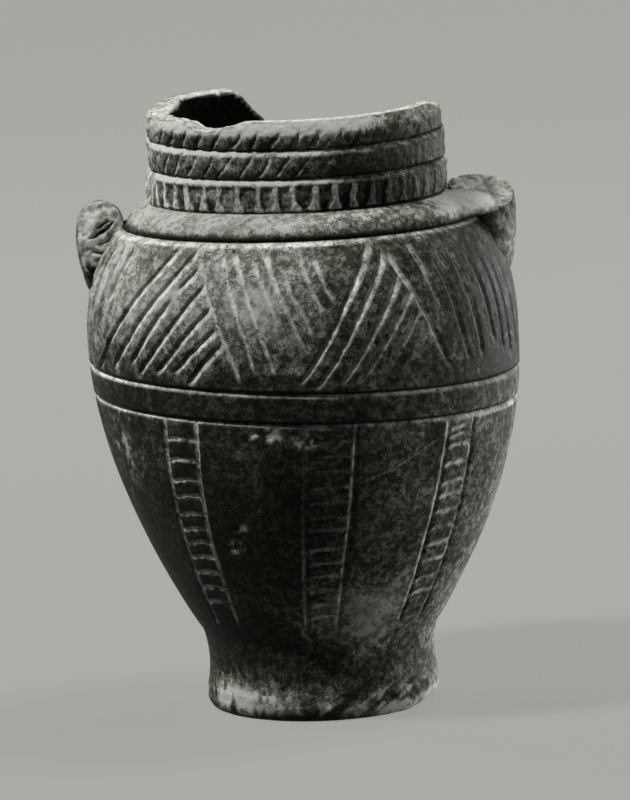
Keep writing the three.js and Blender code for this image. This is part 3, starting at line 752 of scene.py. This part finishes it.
# The breaker is a ring whose underside follows the break line. It cuts the rim and isn't kept.
underside = [(radius, CUT_LOW) for radius in np.linspace(CUT_INNER + 0.5, CUT_OUTER - 0.5, 26)[::-1]]
breaker_mesh = raised_ring(
    "breaker",
    [(CUT_OUTER, CUT_LOW), (CUT_OUTER, CUT_HIGH)],
    [*underside, (CUT_INNER, CUT_HIGH)],
    480,
)
points = read_points(breaker_mesh)
under = points[:, 2] < CUT_HIGH - 1
points[under, 2] = break_height(points[under])
write_points(breaker_mesh, points)
breaker = placed("breaker", breaker_mesh)


def reshaped(mesh, kind, **settings):
    """The mesh after a modifier of the given kind."""
    holder = placed("clay", mesh)
    step = holder.modifiers.new("step", kind)
    for setting, value in settings.items():
        setattr(step, setting, value)
    ready = holder.evaluated_get(bpy.context.evaluated_depsgraph_get())
    result = bpy.data.meshes.new_from_object(ready)
    bpy.data.objects.remove(holder)
    result.name = mesh.name
    return result


def broken_off(mesh, points, **marks):
    """Breaks away what is above the break line, and gives the new mesh, its points and its marks."""
    write_points(mesh, points)
    write_marks(mesh, marks)
    left = reshaped(mesh, "BOOLEAN", operation="DIFFERENCE", solver="MANIFOLD", object=breaker)
    points = read_points(left) / METRES
    marks = {mark: np.array([item.value for item in left.attributes[mark].data]) for mark in marks}
    for mark in marks:
        left.attributes.remove(left.attributes[mark])
    below = break_height(points) - points[:, 2]
    torn_edge = held(1.1 - below / 0.8)
    marks["broken"] = np.maximum(marks["broken"], torn_edge)
    marks["line"] = np.maximum(marks["line"], 0.45 * torn_edge)
    return left, points, marks


# The three bands: flattened coils laid round the neck, parted by grooves whose lower sides face up.
# The lowest is pressed into upright ribs, and the two above have slanting notches, like a rope.
BAND_INNER, ROPE_SLANT = 35.35, 34
bands = [
    # name, node, low, high, crest radius, count, first azimuth, slant, depth, half width of a notch
    ("ribbed_band", "notched_band", ROLL_TOP, 136.1, 37.9, 49, -0.9, 0, 0.9, 1.65),
    ("middle_rope", "middle_rope_band", 136.1, 143.6, 37.6, 47, -6.5, ROPE_SLANT, 0.5, 1.0),
    ("rim_rope", "rim_rope_band", 143.6, 151.0, 37.3, 46, -0.9, ROPE_SLANT, 1.05, 1.25),
]
for name, node, low, high, crest, count, first, slant, depth, half in bands:
    rim_band = node == "rim_rope_band"
    bevel = 3.4 if rim_band else 1.5
    inset = crest - BAND_INNER - 0.4 if rim_band else 1.35

    def band_outside(height):
        """The flattened outside of the coil, drawn in to a groove below and bevelled above."""
        rise = held((height - low) / 0.9)
        fall = held((high - height) / bevel)
        taper = 1 - held((height - low) / 4)
        return crest - 1.3 * (1 - rise) ** 1.5 - inset * (1 - fall) ** 1.3 - 0.3 * taper

    band_mesh = raised_ring(
        name,
        face(band_outside, steps(low, high, 0.26)),
        [(BAND_INNER, low), (BAND_INNER, high)],
        1080,
    )
    points, azimuth, radius, height = measured(band_mesh)
    outside = radius > BAND_INNER + 0.2
    torn = scar(azimuth)
    pitch = 360 / count
    wander = 1.6 * grain(points * (1, 1, 0.4), 7, 41) + 0.7 * grain(points, 2.2, 42)
    drift = np.degrees((height - low - 1.5) * math.tan(math.radians(slant)) / crest)
    around = azimuth - first + wander - drift
    aside = np.radians(((around / pitch + 0.5) % 1 - 0.5) * pitch) * crest
    kept = 0.85 + 0.3 * grain(points, 12, 51)
    if slant:
        # A notch with a steep left wall and a right wall that slopes to the light.
        side = aside / half + 0.35
        pressed = held(np.where(side < 0, 1 + side / 0.6, 1 - side / 1.2))
        pressed *= 1 - ease(height, high - bevel - 0.8, high - bevel + 1.4)
        if not rim_band:
            from_left = turned(azimuth, -45)
            kept *= 0.15 + 0.85 * (1 - ease(from_left, 35, 60)) * ease(from_left, -50, -30)
        kept *= 1 - 0.75 * ease(azimuth, 5, 40) * (1 - ease(azimuth, 120, 160))
        ribs = 0 * pressed
    else:
        # Upright hollows pressed side by side, which leave thin ribs that widen at the foot.
        rib = 0.45 + 0.75 * ease(-height, -low - 3, -low - 0.4) + 0.35 * grain(points, 2.2, 52)
        pressed = ease(np.abs(aside), rib, rib + 0.75)
        pressed *= ease(height, low + 0.3, low + 1.3) * ease(-height, 1.5 - high, 2.4 - high)
        kept *= 1 - 0.6 * ease(azimuth, 20, 45) * (1 - ease(azimuth, 120, 160))
        ribs = (1 - ease(np.abs(aside), rib - 0.1, rib + 0.5)) * ease(-height, 1.0 - high, 2.4 - high)
    pressed = pressed * held(kept) * (1 - torn)
    rough = np.abs(grain(points, 2, 61)) + held(grain(points, 0.9, 62))
    loss = 0.6 * unevenness(points) + depth * pressed + 0.18 * rough
    radius = np.where(outside, radius - loss, radius)
    ragged = crest - 1.0 + 0.7 * grain(points, 4, 63) + 0.45 * grain(points, 1.6, 64)
    radius = np.where(outside, radius + (ragged - radius) * held(torn) * 0.9, radius)
    # Painted light and shade: the bands are paler on the left and on their ledges, which face up, and darker
    # low on each face, with a painted shadow at the foot under the band above.
    left_side = 1 - rightward(azimuth, 12 if rim_band else 4, 32 if rim_band else 22)
    ledge = ease(height, high - bevel - 0.2, high - 0.4 * bevel)
    shadow = held(1 - (height - low) / 0.9)
    tone = 0.38 + 0.26 * left_side + (0.22 + 0.15 * left_side) * ledge + 0.1 * grain(points, 5, 71)
    tone += 0.2 * torn + 0.1 * grain(points, 1.8, 72) - 0.2 * ease(low + 4 - height, 0, 3)
    if node == "notched_band":
        tone += 0.08 * (1 - rightward(azimuth, 0, 20))
    if rim_band:
        # Painted light: the rim's bevel, which faces up, is paler on the left and front.
        tone += 0.4 * (1 - rightward(azimuth, 20, 40)) * ease(height, high - bevel - 1.5, high - bevel + 0.8)
        tone += 0.13 * rightward(azimuth, -8, 15)
    # Painted light and shade in the notches: the right wall is pale, lime with painted light, and the left
    # wall is darkened as painted shadow; the ribs are pale, more so on the left.
    line = np.where(slant > 0, 0.7 * pressed * (aside > -0.2) * (0.3 + 0.7 * left_side), 0)
    line -= (slant > 0) * held(kept) * (1 - ledge) * band_of(aside / half, -1.1, -0.25) * (1 - torn)
    line += ribs * (0.45 + 0.45 * left_side) * kept * (1 - 0.75 * rightward(azimuth, 10, 30))
    line += 0.25 * ledge * left_side
    line -= 0.9 * shadow * held(0.8 + 0.6 * grain(points, 3, 53))
    points = lean(from_polar(azimuth, radius, height))
    band_mesh, points, marks = broken_off(band_mesh, points,
                                          line=line * outside, broken=0.12 * torn, tone=tone)
    dress(name, band_mesh, points, "burnished_clay", node, **marks)

# The neck's wall: a short upright collar behind the bands. Its inside is painted near black, soot with
# painted shade, and its lip is rounded where it isn't broken; the lip's top is painted pale, dust with
# painted light.
neck_finish = smoked_clay("soot_and_shade_clay", 0.0035, 130, 0.0)
neck_mesh = raised_ring(
    "neck_collar",
    [(NECK_OUTSIDE, COLLAR_FOOT), (NECK_OUTSIDE, RIM - 0.1), (NECK_OUTSIDE - 1, RIM),
     (NECK_OUTSIDE - 2, RIM)],
    [(NECK_BORE, height) for height in steps(COLLAR_FOOT, RIM - 1.5, 1.2)]
    + [(NECK_BORE + 0.25, RIM - 0.8), (NECK_BORE + 0.8, RIM - 0.3), (NECK_BORE + 1.5, RIM - 0.05)],
    480,
)
points, azimuth, radius, height = measured(neck_mesh)
on_lip = ease(height, RIM - 1.2, RIM - 0.4) * (radius > NECK_BORE + 0.3)
points = lean(from_polar(azimuth, radius, height))
neck_mesh, points, marks = broken_off(neck_mesh, points,
                                      line=0.5 * on_lip, broken=0, tone=0.02 + 0.85 * on_lip)
dress("neck_collar", neck_mesh, points, "burnished_clay", "neck_wall", finish=neck_finish, **marks)
bpy.data.objects.remove(breaker)

# The handles' roots: thick clay that was luted to the shoulder and smoothed out at its foot. The
# left one has broken down its front and the right one across its top, through to the rough core.
HANDLE_DROP, HANDLE_THICK, HANDLE_BROAD = 18.5, 12.2, 17.0
VOXEL, SMOOTHINGS = 0.38, 7
handles = [
    # name, node, azimuth, how far it stands proud, rise, how far its top reaches in, direction that
    # the break faces, a point of the break
    ("left_root", "left_handle_stub", -88, 1.8, 7.2, 0.0, (0.05, -0.93, 0.36), (-49.6, -5.0, 120.0)),
    ("right_root", "right_handle_stub", 90, 0.6, 12.5, 6.5, (0.10, -0.33, 0.94), (48.4, 0.0, 127.4)),
]
for name, node, turn, stand, rise, inward, facing, at in handles:
    root = SHOULDER - HANDLE_DROP
    wall = outer_radius(root)
    tall = HANDLE_DROP + rise
    stub_mesh = shaped(name, bmesh.ops.create_icosphere, subdivisions=6, radius=1)
    ball = read_points(stub_mesh)
    # The ball becomes an upright loaf of oval section that flares at its foot.
    share = (ball[:, 2] + 1) / 2
    girth = np.hypot(ball[:, 0], ball[:, 1])
    full = np.where(girth > 1e-6, np.sqrt(1 - np.abs(ball[:, 2]) ** 4) / np.maximum(girth, 1e-6), 0)
    reach = inward * ease(share, 0.55, 0.95)
    half = (HANDLE_THICK + reach) / 2
    outer = wall + (BELLY_RADIUS + stand - wall) * np.minimum(1, share / 0.6) ** 0.7
    spread = 1 + 0.3 * (1 - share) ** 2
    local = np.column_stack((
        outer - half + half * ball[:, 0] * full,
        HANDLE_BROAD / 2 * spread * ball[:, 1] * full,
        root + tall * share,
    ))
    local[:, 0] += 0.5 * grain(local, 7, 71) - 0.5
    local[:, 1] += 0.5 * grain(local, 6, 72)
    points = local @ np.array(Matrix.Rotation(math.radians(turn - 90), 3, "Z").transposed())
    # The break: everything beyond its rough face is brought back to it.
    normal = np.array(facing) / np.linalg.norm(facing)
    lumps = 1.3 * grain(points, 7, 81) + 0.7 * grain(points, 3, 83)
    beyond = (points - np.array(at)) @ normal - lumps
    points -= np.outer(np.maximum(beyond, 0), normal)
    write_points(stub_mesh, points)
    stub_mesh = reshaped(stub_mesh, "REMESH", mode="VOXEL", voxel_size=VOXEL * METRES)
    clay = bmesh.new()
    clay.from_mesh(stub_mesh)
    for _ in range(SMOOTHINGS):
        bmesh.ops.smooth_vert(clay, verts=clay.verts, factor=0.5,
                              use_axis_x=True, use_axis_y=True, use_axis_z=True)
    bmesh.ops.recalc_face_normals(clay, faces=clay.faces)
    clay.to_mesh(stub_mesh)
    clay.free()
    points = read_points(stub_mesh) / METRES
    outward = read_points(stub_mesh, "normal")
    broken = ease(outward @ normal, 0.35, 0.7) * ease((points - np.array(at)) @ normal, -3.6, -2.2)
    pushed = (0.2 if turn < 0 else 0.08) * grain(points, 0.9, 84) + 0.25 * grain(points, 1.5, 85)
    pushed += 0.3 * grain(points, 2.6, 86) - 0.2
    if turn < 0:
        # Fissures and a deep hollow in the torn clay, each from one place to another and so wide.
        for x0, z0, x1, z1, wide, deep in [
            (-51.5, 120.0, -48.0, 121.3, 0.45, 1.2), (-48.0, 121.3, -45.6, 123.6, 0.4, 1.1),
            (-50.0, 121.9, -46.8, 123.9, 0.35, 0.9), (-49.6, 118.0, -46.4, 119.4, 0.35, 0.9),
            (-51.0, 116.4, -47.8, 115.8, 0.45, 1.1), (-50.2, 114.3, -47.2, 114.9, 0.35, 0.8),
            (-50.8, 112.6, -48.0, 112.8, 0.5, 1.0), (-51.6, 110.6, -49.8, 107.8, 2.1, 2.6),
        ]:
            line = np.array((x1 - x0, z1 - z0))
            here = points[:, [0, 2]] - (x0, z0) + 0.5 * grain(points, 1.8, 87)[:, None]
            along = held(here @ line / (line @ line))
            gap = np.linalg.norm(here - along[:, None] * line, axis=1)
            pushed -= deep * np.exp(-(gap / wide) ** 2) * (points[:, 1] < 0)
    torn_in = np.where(broken > 0.05, pushed * broken, 0.3 * np.minimum(pushed, 0))
    points += outward * torn_in[:, None]
    azimuth, radius, height = polar(points)
    least = np.where(height < SHOULDER, outer_radius(height) - 3, 36.5)
    points = from_polar(azimuth, np.maximum(radius, least), height)
    # Painted shade and light: the hollows of the torn clay are darker, and the right root is paler low down,
    # over the shadow that falls on it.
    hollows = held(-pushed - 0.5)
    tone = 0.64 - 0.3 * hollows + 0.12 * grain(points, 4, 88)
    tone += (turn > 0) * 0.18 * ease(SHOULDER - height, -4, 2)
    pale = broken * (1 - 1.2 * hollows) * (0.4 if turn < 0 else 0.3 - 0.3 * ease(radius, 49, 53))
    dress(name, stub_mesh, points, "worn_clay", node,
          line=pale, broken=broken * (1 - 1.5 * hollows), tone=tone)

# The floor: a wide sheet of pale paper. It shows pale to the eye and in reflections, throws little
# light back at the jar, and keeps the jar's soft shadow.
PAPER = (0.4, 0.408, 0.378, 1)
DIM_PAPER = (0.06, 0.06, 0.057, 1)
PLAIN_SHARE, PLAIN_STRENGTH = 0.84, 0.91
floor_mesh = shaped("floor", bmesh.ops.create_grid, x_segments=2, y_segments=2, size=12)
floor = placed("floor", floor_mesh)
paper = Finish("paper")
seen = paper.node("ShaderNodeLightPath", output="Is Camera Ray")
for ray in ("Is Glossy Ray", "Is Transmission Ray"):
    seen = paper.maths("MAXIMUM", seen, paper.node("ShaderNodeLightPath", output=ray))
paper.feed(paper.surface.inputs["Base Color"], paper.blend(seen, DIM_PAPER, PAPER))
paper.feed(paper.surface.inputs["Roughness"], 0.95)
paper.feed(paper.surface.inputs["Specular IOR Level"], 0.0)
lit = Wire(paper, paper.surface.outputs[0])
plain = paper.node("ShaderNodeEmission", {}, {"Color": PAPER, "Strength": PLAIN_STRENGTH})
shown = paper.node("ShaderNodeMixShader", {}, {0: seen * PLAIN_SHARE, 1: lit, 2: plain})
paper.feed(paper.tree.nodes["Material Output"].inputs["Surface"], shown)
floor_mesh.materials.append(paper.material)

# The light of a studio: a strong soft light high on the left, a weak one high on the right behind,
# round panels low on the right and behind on both sides, and a dim room.
JAR_MIDDLE = Vector((0, 0, 0.08))
ROOM_GREY, ROOM_STRENGTH = (0.42, 0.43, 0.4, 1), 0.07


def sun(name, azimuth, elevation, width, strength):
    """A distant light that comes from the given azimuth, counted from the front towards +X."""
    light = bpy.data.lights.new(name, "SUN")
    light.angle, light.energy = math.radians(width), strength
    turn, rise = math.radians(azimuth), math.radians(elevation)
    source = Vector((math.sin(turn) * math.cos(rise), -math.cos(turn) * math.cos(rise), math.sin(rise)))
    placed(name, light).rotation_euler = source.to_track_quat("Z", "Y").to_euler()


def panel(name, azimuth, height, away, size, power):
    """A round panel that stands away from the jar and looks at it; its sizes are in metres."""
    light = bpy.data.lights.new(name, "AREA")
    light.shape, light.size, light.energy = "DISK", size, power
    turn = math.radians(azimuth)
    holder = placed(name, light)
    holder.location = (away * math.sin(turn), -away * math.cos(turn), height)
    holder.rotation_euler = (holder.location - JAR_MIDDLE).to_track_quat("Z", "Y").to_euler()


sun("key", -65, 55, 9, 3.2)
panel("right_panel", 96, 0.1, 1.2, 0.7, 13)
panel("left_panel", -132, 0.55, 1.2, 0.5, 8)
panel("back_panel", 132, 0.13, 1.2, 0.26, 9)
sun("top", 115, 66, 12, 1.3)
room = bpy.data.worlds.new("room")
bpy.context.scene.world = room
room.use_nodes = True
room.node_tree.nodes["Background"].inputs["Color"].default_value = ROOM_GREY
room.node_tree.nodes["Background"].inputs["Strength"].default_value = ROOM_STRENGTH

# The camera stands in front and a little above, turned slightly on its own axis.
FRAME_HEIGHT, FOCAL_PIXELS, SENSOR = 800, 5300, 36
CAMERA_TURN = 2.5
eye = Vector((-0.001, -1.307, 0.285))
aim = Vector((0.0022, 0.0008, 0.0758))
camera = bpy.data.cameras.new("camera")
camera.sensor_fit, camera.sensor_height = "VERTICAL", SENSOR
camera.lens = FOCAL_PIXELS / FRAME_HEIGHT * SENSOR
holder = placed("camera", camera)
look = (aim - eye).to_track_quat("-Z", "Y").to_matrix()
look = look @ Matrix.Rotation(math.radians(-CAMERA_TURN), 3, "Z")
holder.matrix_world = Matrix.Translation(eye) @ look.to_4x4()
bpy.context.scene.camera = holder
bpy.context.scene.view_settings.view_transform = "Standard"
